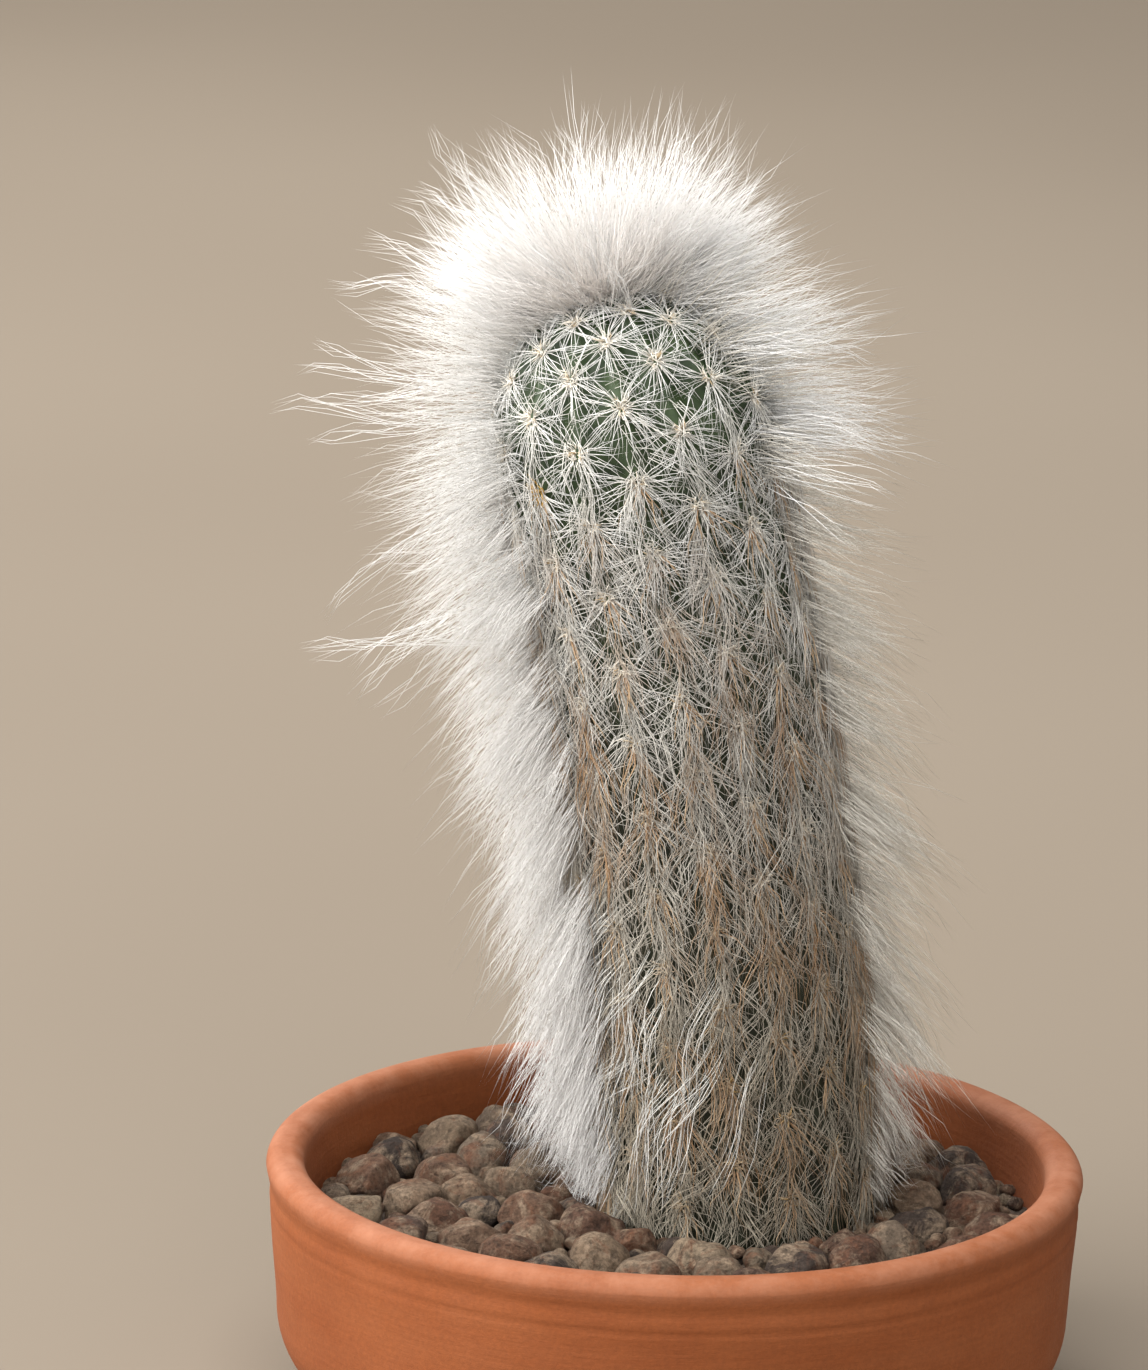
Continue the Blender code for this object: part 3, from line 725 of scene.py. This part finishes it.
def make_gravel():
    rng = np.random.default_rng(PEBBLE_SEED)
    surface = pebble_stone()
    shapes = pebble_places()
    stones = stones_mesh("pebbles", rng, shapes, 4)
    pebbles = piece("pebbles", stones, surface, "gravel", "gravel")
    fillers = filler_places(rng, shapes)
    piece("small_pebbles", stones_mesh("small_pebbles", rng, fillers, 3), surface, "gravel")
    turns = np.linspace(0, math.tau, 110, endpoint=False)
    shares = np.linspace(0, 1, 22)[:, None]
    inner, outer = STEM_RADIUS - GROOVE_DEPTH - 0.0004, inner_radius(BED_TOP) - GAP
    axis = axis_frame(np.array(BED_TOP - STEM_BASE[2]))[0]
    x = (axis[0] + inner * np.cos(turns)) * (1 - shares) + outer * np.cos(turns) * shares
    y = (axis[1] + inner * np.sin(turns)) * (1 - shares) + outer * np.sin(turns) * shares
    bumps = 0.0003 * np.sin(x * 2100) * np.sin(y * 1900) + 0.0003 * rng.normal(size=x.shape)
    top = np.stack((x, y, BED_TOP - 0.0008 + bumps), axis=-1)
    under = top[::-1] - np.array((0, 0, 0.0026))
    points = np.concatenate((top, under, top[:1]))
    bed = grid_mesh("grit_bed", points)
    bm = bmesh.new()
    bm.from_mesh(bed)
    bmesh.ops.remove_doubles(bm, verts=bm.verts, dist=1e-7)
    bmesh.ops.recalc_face_normals(bm, faces=bm.faces)
    bm.to_mesh(bed)
    bm.free()
    piece("grit_bed", bed, grit(), "gravel")
    return pebbles


# Stem


def rib_offset(arc, azimuth):
    """How far the skin stands off the smooth side: rounded ribs, swollen at their areoles."""
    turn = (azimuth - FRONT) / math.tau * RIBS
    off_rib = turn - np.round(turn)
    grown_share = np.minimum(1, arc / (DOME_ARC / 2))
    groove = -GROOVE_DEPTH * (0.5 - 0.5 * np.cos(off_rib * math.tau)) ** 0.8
    row = STEM_ROWS * (np.maximum(arc, 1e-6) / SIDE_ARC) ** (1 / ROW_GROWTH)
    phase = (row + np.round(turn)) / 2
    swell = np.exp(-(((phase - np.round(phase)) * 2) / 0.42) ** 2) * np.exp(-(off_rib / 0.22) ** 2)
    return (groove + AREOLE_RISE * swell) * grown_share


def make_stem():
    columns = RIBS * SKIN_COLUMNS
    arcs = np.concatenate((np.linspace(0.0006, SIDE_ARC + 0.002, SKIN_ROWS),))
    turns = FRONT + math.tau * np.arange(columns) / columns
    arc_grid, turn_grid = np.meshgrid(arcs, turns, indexing="ij")
    points = side(arc_grid, turn_grid, rib_offset(arc_grid, turn_grid))[0]
    mesh = grid_mesh("stem", points)
    bm = bmesh.new()
    bm.from_mesh(mesh)
    bmesh.ops.holes_fill(bm, edges=bm.edges)
    bmesh.ops.recalc_face_normals(bm, faces=bm.faces)
    bm.to_mesh(mesh)
    bm.free()
    mesh.shade_smooth()
    piece("stem_skin", mesh, stem_skin(), "stem", "stem")


def rise_over(length, lift, points, layer=0.0):
    """Height over the side along each strand: it leaves at a lift, bends back and keeps to its layer."""
    share = np.linspace(0, 1, points)
    layered = np.asarray(layer)[..., None] * (1 - np.exp(-6 * share))
    return AREOLE_RISE * 0.4 + layered + (length * np.sin(lift))[:, None] * (share - 0.45 * share ** 2)


def add_strands(name, rng, paths, thickness, tip, surface, slot, warm=0.0, *stands_for):
    hairs, points, _ = paths.shape
    radii = tapered(rng.uniform(0.75, 1.15, hairs) * thickness, points, tip, hairs)
    warmth = np.broadcast_to(np.asarray(warm, float), hairs)
    mesh = strand_mesh(name, kept_up(paths), radii, shade=rng.random(hairs), warm=warmth)
    return piece(name, mesh, surface, slot, *stands_for)


def open_areoles():
    """The areoles that the wool leaves bare."""
    arc, azimuth = areoles()
    bare = (np.abs(off_front(azimuth)) < 1.85) & (arc > hood_edge(azimuth) - 0.002)
    return arc[bare], azimuth[bare]


def make_radial_spines(rng):
    count = 46
    arc, azimuth = (np.repeat(values, count) for values in open_areoles())
    hairs = len(arc)
    number = np.arange(hairs) % count
    age = np.clip((arc - 0.017) / 0.055, 0, 1)
    arc = arc + rng.normal(size=hairs) * 0.0026 * age ** 2
    azimuth = azimuth + rng.normal(size=hairs) * 0.03 * age ** 2
    turn = math.tau * ((number + rng.uniform(-0.4, 0.4, hairs)) / count) - math.pi
    heading = turn * (1 - 0.74 * age)
    length = rng.uniform(0.0052, 0.0071, hairs) * (1 + 0.55 * age)
    lift = np.radians(rng.uniform(7, 26, hairs)) * (1 - 0.45 * age)
    bow = -0.55 * heading * age
    rise = rise_over(length, lift, 4)
    wave = (0.1 + 0.35 * age)[:, None]
    paths = surface_strands(rng, arc, azimuth, heading, length, rise, 4, wave, bow[:, None])
    surface = hair("spines", (0.93, 0.90, 0.82), (0.98, 0.97, 0.95), 0.74, 0.03, 0.42, (0.46, 0.40, 0.30))
    add_strands("radial_spines", rng, paths, 0.00006, 0.35, surface, "stem")


def make_cross_hairs(rng):
    """Hairs that lie across the grooves, from one rib to the next."""
    hairs = 2500
    arc = rng.uniform(0.014, SIDE_ARC - 0.001, hairs)
    azimuth = FRONT + math.tau / RIBS * (rng.integers(-5, 6, hairs) + rng.normal(size=hairs) * 0.12)
    heading = np.radians(rng.uniform(32, 95, hairs)) * rng.choice((-1, 1), hairs)
    length = rng.uniform(0.0050, 0.0095, hairs)
    rise = rise_over(length, np.radians(rng.uniform(0, 5, hairs)), 4, rng.uniform(-0.0006, 0.0007, hairs))
    paths = surface_strands(rng, arc, azimuth, heading, length, rise, 4, 0.4, (-0.75 * heading)[:, None])
    surface = hair("cross_hairs", (0.84, 0.81, 0.73), (0.95, 0.94, 0.90), 0.6, 0.03, 0.45, (0.40, 0.35, 0.26))
    add_strands("cross_hairs", rng, paths, 0.00005, 0.4, surface, "stem")


def make_thatch(rng):
    """Wavy bundles that hang along the ribs and thicken towards the base."""
    bundles, each = 1050, 5
    arc = 0.024 + (SIDE_ARC - 0.026) * rng.random(bundles) ** 0.95
    rib = rng.integers(-5, 6, bundles)
    beside = rng.normal(size=bundles) * 0.17
    azimuth = FRONT + math.tau / RIBS * (rib + beside)
    heading = np.clip(beside / 0.17, -2, 2) * 0.3 + rng.normal(size=bundles) * 0.1
    length = rng.uniform(0.009, 0.018, bundles)
    phase = rng.uniform(0, math.tau, bundles)
    layer = rng.uniform(0.0001, 0.0013, bundles)
    on_crest = np.exp(-(beside / 0.24) ** 2) * np.clip((arc - 0.03) / 0.03, 0, 1)
    stretches = np.sin(arc * 310 + rib * 2.4) + np.sin(arc * 173 + rib * 5.1)
    warm = on_crest * np.clip(stretches * 1.5 + 0.5, 0, 1) * rng.uniform(0.6, 1.0, bundles)

    def spread(values, by):
        return np.repeat(values, each) + rng.normal(size=bundles * each) * by

    lengths = np.repeat(length, each) * rng.uniform(0.7, 1.05, bundles * each)
    lift = np.radians(rng.uniform(0, 5.5, bundles * each))
    rise = rise_over(lengths, lift, 5, spread(layer, 0.00015))
    starts = spread(azimuth, 0.022)
    paths = surface_strands(
        rng, spread(arc, 0.0007), starts, spread(heading, 0.11), lengths, rise, 5, 0.28, phase=spread(phase, 0.4)
    )
    surface = hair("thatch", (0.88, 0.85, 0.77), (0.97, 0.955, 0.92), 0.55, 0.03, 0.45, (0.46, 0.40, 0.30))
    add_strands("thatch_hairs", rng, paths, 0.000054, 0.4, surface, "stem", np.repeat(warm, each))


def make_central_spines(rng):
    count = 8
    arc, azimuth = (np.repeat(values, count) for values in open_areoles())
    older = arc > 0.03
    arc, azimuth = arc[older], azimuth[older]
    hairs = len(arc)
    heading = rng.normal(size=hairs) * 0.22
    length = rng.uniform(0.0045, 0.0095, hairs)
    rise = rise_over(length, np.radians(rng.uniform(8, 22, hairs)), 4)
    paths = surface_strands(rng, arc, azimuth, heading, length, rise, 4, 0.3)
    surface = hair("central_spines", (0.52, 0.30, 0.15), (0.72, 0.52, 0.33), 0.55, 0.1, 0.45)
    add_strands("central_spines", rng, paths, 0.0001, 0.3, surface, "stem")


def make_areole_felt(rng):
    count = 32
    arc, azimuth = (np.repeat(values, count) for values in open_areoles())
    hairs = len(arc)
    aside = rng.normal(size=(2, hairs)) * 0.0004
    starts = arc + aside[0]
    turns = azimuth + aside[1] / np.maximum(meridian(arc)[0], 0.004)
    heading = rng.uniform(-math.pi, math.pi, hairs)
    length = rng.uniform(0.0010, 0.0020, hairs)
    rise = rise_over(length, np.radians(rng.uniform(35, 80, hairs)), 3)
    paths = surface_strands(rng, starts, turns, heading, length, rise, 3, 0.5)
    surface = hair("felt", (0.88, 0.80, 0.66), (0.95, 0.91, 0.83), 0.8, 0.03, 0.7, (0.46, 0.34, 0.21), OCHRE)
    off = np.hypot(arc - OCHRE_AREOLE[0], (off_front(azimuth) - OCHRE_AREOLE[1]) * STEM_RADIUS)
    centre = 0.8 * np.exp(-(np.hypot(*aside) / 0.00024) ** 2)
    warm = np.where(off < 0.0028, 0.95, centre)
    add_strands("areole_felt", rng, paths, 0.00011, 0.45, surface, "stem", warm)


def make_white_locks(rng):
    """A few long white locks that sweep down to the left over the lower ribs."""
    locks, each, points = 15, 8, 7
    arc = np.repeat(rng.uniform(0.090, 0.114, locks), each) + rng.normal(size=locks * each) * 0.0014
    azimuth = FRONT + np.repeat(rng.uniform(-0.85, 0.3, locks), each) + rng.normal(size=locks * each) * 0.06
    heading = np.repeat(rng.uniform(-0.75, -0.4, locks), each) + rng.normal(size=locks * each) * 0.05
    length = rng.uniform(0.014, 0.024, locks * each)
    rise = rise_over(length, np.radians(rng.uniform(2, 6, locks * each)), points, rng.uniform(0.0006, 0.0013, locks * each))
    phase = np.repeat(rng.uniform(0, math.tau, locks), each)
    paths = surface_strands(rng, arc, azimuth, heading, length, rise, points, 0.22, 0.3, phase)
    surface = hair("white_locks", (0.86, 0.84, 0.78), (0.93, 0.92, 0.88), 0.7, 0.03)
    add_strands("white_locks", rng, paths, 0.00006, 0.3, surface, "stem")


def make_spines():
    rng = np.random.default_rng(21)
    make_radial_spines(rng)
    make_cross_hairs(rng)
    make_thatch(rng)
    make_central_spines(rng)
    make_areole_felt(rng)
    make_white_locks(rng)


# Wool


def fullness(azimuth):
    """1 at the left and 0 at the right."""
    return 0.5 - 0.5 * np.cos(azimuth)


CREAM_SPOT = side(np.array(0.006), np.array(FRONT))[0]


def crown_shape(arc, azimuth):
    """Length, first hang from the normal, and turn towards the pull, of the crown's hairs."""
    front = 0.5 - 0.5 * np.sin(azimuth)
    right = 1 - fullness(azimuth)
    edge = np.maximum(hood_edge(azimuth) - arc, 0)
    length = (0.0272 - 0.0015 * np.sin(azimuth)) * (1 - 0.62 * front * np.exp(-edge / 0.002))
    lean = arc / 0.016 * (18 + 22 * right) + 26 * front ** 2 * np.clip(arc / 0.004, 0, 1)
    return length, np.radians(lean), np.full(len(arc), 0.1)


def wisp_shape(arc, azimuth):
    """The same for the long wisps that sweep to the right below the crown."""
    return np.full(len(arc), 0.0245), np.radians(58 - 1500 * arc), np.full(len(arc), 0.1)


def wisp_roots(rng, count):
    """Roots at the right, where the crown's wool passes into the mane."""
    return rng.uniform(0.008, 0.036, count), np.radians(rng.uniform(-28, 38, count))


def mane_shape(arc, azimuth):
    """The same for the mane: it hangs more towards the base, and is short where it meets the spines."""
    left = fullness(azimuth)
    below = np.clip((arc - 0.026) / 0.085, 0, 1)
    length = (0.0238 + 0.0045 * below) * left + (0.0182 + 0.0085 * below) * (1 - left)
    length = length + 0.004 * np.maximum(np.sin(azimuth), 0)
    inside = np.minimum(azimuth - side_edge(arc, RIGHT_EDGE), side_edge(arc, LEFT_EDGE) - azimuth)
    length = length * (0.62 + 0.38 * np.clip(inside / 0.35, 0, 1))
    length = length * np.clip((SIDE_ARC + 0.006 - arc) / 0.03, 0.3, 1)
    hang = np.radians(6 + 48 * below ** 0.8 - 6 * below * (1 - left))
    return length, hang, 0.16 + 0.46 * below - 0.06 * below * (1 - left)


def side_edge(arc, edge):
    """Azimuth at which the mane begins, from its degrees near the crown and near the base."""
    return np.radians(np.interp(arc, (0.02, 0.06), edge))


def crown_roots(rng, count):
    """Roots over the crown's hood, evenly by area."""
    arc = DOME_ARC * np.sqrt(rng.random(count * 4)) * 0.62
    azimuth = rng.uniform(0, math.tau, count * 4)
    kept = arc < hood_edge(azimuth) + 0.0012
    return arc[kept][:count], azimuth[kept][:count]


def mane_roots(rng, count, start, end):
    """Roots between two edges, each given in degrees near the crown and near the base."""
    arc = rng.uniform(0.007, SIDE_ARC - 0.003, count * 4)
    low, high = side_edge(arc, start), side_edge(arc, end)
    azimuth = low + (high - low) * rng.random(count * 4)
    kept = arc > hood_edge(azimuth) - 0.002
    kept &= rng.random(count * 4) < np.sqrt(np.clip(arc / DOME_ARC, 0, 1))
    return arc[kept][:count], azimuth[kept][:count]


def add_fur(name, rng, roots, shape, gather, thickness, surface, lock_size=15, points=5):
    paths, radii = wool_fur(rng, *roots, lock_size, shape, points, gather, thickness)
    hairs = len(paths)
    warm = 0.26 * np.exp(-np.linalg.norm(paths[:, 0] - CREAM_SPOT, axis=1) / 0.005)
    mesh = strand_mesh(name, paths, radii, shade=rng.random(hairs), warm=warm)
    piece(name, mesh, surface, "wool")


def make_underwool(rng):
    """The matted wool close to the skin, under the crown and behind the stem. It ends inside the stem."""
    rows, columns = 80, 80
    arcs = SIDE_ARC * np.linspace(0.004, 0.985, rows)
    turns = FRONT + math.tau * np.arange(columns) / columns
    arc, azimuth = np.meshgrid(arcs, turns, indexing="ij")
    behind = (np.abs(off_front(azimuth)) - 1.62) / 0.35
    hood = (hood_edge(azimuth) - arc) / 0.003
    cover = np.clip(np.maximum(behind, hood), 0, 1)
    lumps = 0.00045 * np.sin(azimuth * 23 + 4 * np.sin(arc * 260)) + 0.0003 * rng.normal(size=arc.shape)
    offset = -0.0035 + cover * (0.0050 + lumps)
    mesh = grid_mesh("underwool", side(arc, azimuth, offset)[0])
    bm = bmesh.new()
    bm.from_mesh(mesh)
    bmesh.ops.holes_fill(bm, edges=bm.edges)
    bmesh.ops.recalc_face_normals(bm, faces=bm.faces)
    bm.to_mesh(mesh)
    bm.free()
    mesh.shade_smooth()
    piece("underwool", mesh, underwool_felt(), "wool", "wool")


def make_stray_locks(rng, surface):
    """Long thin wisps that leave the outline of the crown and the mane."""
    locks, each, points = 46, 5, 9
    arc = np.concatenate((rng.uniform(0.002, 0.012, 26), rng.uniform(0.015, 0.06, 20)))
    azimuth = np.concatenate((rng.uniform(0, math.tau, 26), rng.uniform(2.6, 3.4, 17), rng.uniform(-0.2, 0.3, 3)))
    root, normal, down, _ = side(arc, azimuth, np.full(locks, -0.0005))
    start = jittered(rng, normal + 0.25 * down, 0.25)
    length = rng.uniform(0.024, 0.033, locks) * (0.72 + 0.28 * fullness(azimuth))
    guides = grown(root, start, unit(down + normal + DOWN * 0.3), length, rng.uniform(0.1, 0.5, locks), points)
    guides = wavy(rng, guides, 0.07 * length, 0.9)
    paths = np.repeat(guides, each, axis=0)
    fan = rng.normal(size=(len(paths), 1, 3)) * 0.0011
    paths = paths + fan * (1 - 0.8 * np.linspace(0, 1, points) ** 0.7)[None, :, None]
    paths = wavy(rng, paths, np.full(len(paths), 0.0007), 2.2)
    add_strands("stray_locks", rng, paths, 0.00006, 0.3, surface, "wool")


def make_wool():
    rng = np.random.default_rng(8)
    make_underwool(rng)
    white = hair("wool", (0.985, 0.978, 0.965), (0.93, 0.92, 0.905), 0.92, 0.05, 0.5)
    # Painted shade: the manes get duller copies of the crown's white wool, wool_hung a little darker for the left and
    # back, and wool_shaded darker and warmer for the right side, away from the key light.
    hung = hair("wool_hung", (0.90, 0.885, 0.86), (0.87, 0.855, 0.83), 0.86, 0.05, 0.5)
    grey = hair("wool_shaded", (0.80, 0.75, 0.66), (0.84, 0.80, 0.72), 0.8, 0.05, 0.5)
    add_fur("crown_wool", rng, crown_roots(rng, 6000), crown_shape, 0.75, 0.00006, white)
    add_fur("left_mane", rng, mane_roots(rng, 5800, (150, 150), LEFT_EDGE), mane_shape, 0.75, 0.00006, hung)
    add_fur("back_mane", rng, mane_roots(rng, 7000, (35, 35), (150, 150)), mane_shape, 0.75, 0.000068, hung, points=4)
    add_fur("right_mane", rng, mane_roots(rng, 2600, RIGHT_EDGE, (35, 35)), mane_shape, 0.7, 0.00006, grey)
    add_fur("right_wisps", rng, wisp_roots(rng, 800), wisp_shape, 0.75, 0.00006, white)
    make_stray_locks(rng, white)


# Stage


def make_stage():
    made = Surface("backdrop", 0.9, 0.2)
    made.colour(made.ramp(made.noise(2.2, 2, 0.4), (0.3, (0.186, 0.152, 0.116)), (0.7, (0.218, 0.181, 0.140))))
    flat = [(-4.0, 0.0), (-1.5, 0.0), (1.6, 0.0)]
    bend = arc_points((1.6, 1.0), 1.0, -90, 0, 40)
    profile = np.concatenate((np.array(flat), bend[1:], [(2.6, 4.0)]))
    width = np.linspace(-4, 4, 2)
    points = np.stack([
        np.stack((np.full(len(profile), x), profile[:, 0], profile[:, 1]), axis=-1) for x in width
    ], axis=1)
    mesh = grid_mesh("backdrop", points, closed_around=False)
    obj = bpy.data.objects.new("backdrop", mesh)
    bpy.context.scene.collection.objects.link(obj)
    mesh.materials.append(made.material)


def add_light(name, place, target, size, energy, colour):
    lamp = bpy.data.lights.new(name, "AREA")
    lamp.shape = "RECTANGLE"
    lamp.size, lamp.size_y = size
    lamp.energy = energy
    lamp.color = colour
    obj = bpy.data.objects.new(name, lamp)
    obj.location = place
    obj.rotation_euler = (Vector(target) - Vector(place)).to_track_quat("-Z", "Y").to_euler()
    bpy.context.scene.collection.objects.link(obj)


def make_lights():
    scene = bpy.context.scene
    world = bpy.data.worlds.new("world")
    world.use_nodes = True
    background = world.node_tree.nodes["Background"]
    background.inputs["Color"].default_value = (1.0, 0.995, 0.985, 1)
    background.inputs["Strength"].default_value = 0.68
    scene.world = world
    scene.view_settings.view_transform = "Standard"
    aim = (0, 0, 0.09)
    add_light("key", (-1.9, -0.6, 1.2), aim, (1.95, 1.95), 100, (1.0, 0.992, 0.98))
    add_light("back", (-0.45, 0.8, 0.75), aim, (0.6, 0.6), 9, (1.0, 0.995, 0.985))
    add_light("top", (-0.1, -0.6, 1.4), aim, (0.9, 0.9), 17, (1.0, 0.995, 0.985))
    add_light("fill", (0.6, -1.1, 0.5), aim, (0.9, 0.9), 3, (1.0, 0.995, 0.985))


def make_camera():
    lens = bpy.data.cameras.new("camera")
    lens.sensor_fit = "VERTICAL"
    lens.sensor_height = 24
    lens.lens = lens.sensor_height * CAMERA_DISTANCE / FRAME_HEIGHT
    lens.clip_start, lens.clip_end = 0.05, 20
    obj = bpy.data.objects.new("camera", lens)
    back = Vector((0, -math.cos(CAMERA_ELEVATION), math.sin(CAMERA_ELEVATION)))
    turn = back.to_track_quat("Z", "Y").to_matrix() @ Matrix.Rotation(CAMERA_ROLL, 3, "Z")
    obj.matrix_world = Matrix.Translation(LOOK_AT + back * CAMERA_DISTANCE) @ turn.to_4x4()
    bpy.context.scene.collection.objects.link(obj)
    bpy.context.scene.camera = obj


def dress_soil():
    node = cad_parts["soil"]
    surface = earth()
    for slot in node.material_slots:
        slot.material = surface
    if not node.material_slots:
        node.data.materials.append(surface)


make_camera()
make_lights()
make_stage()
make_pot()
dress_soil()
make_gravel()
make_stem()
make_spines()
make_wool()
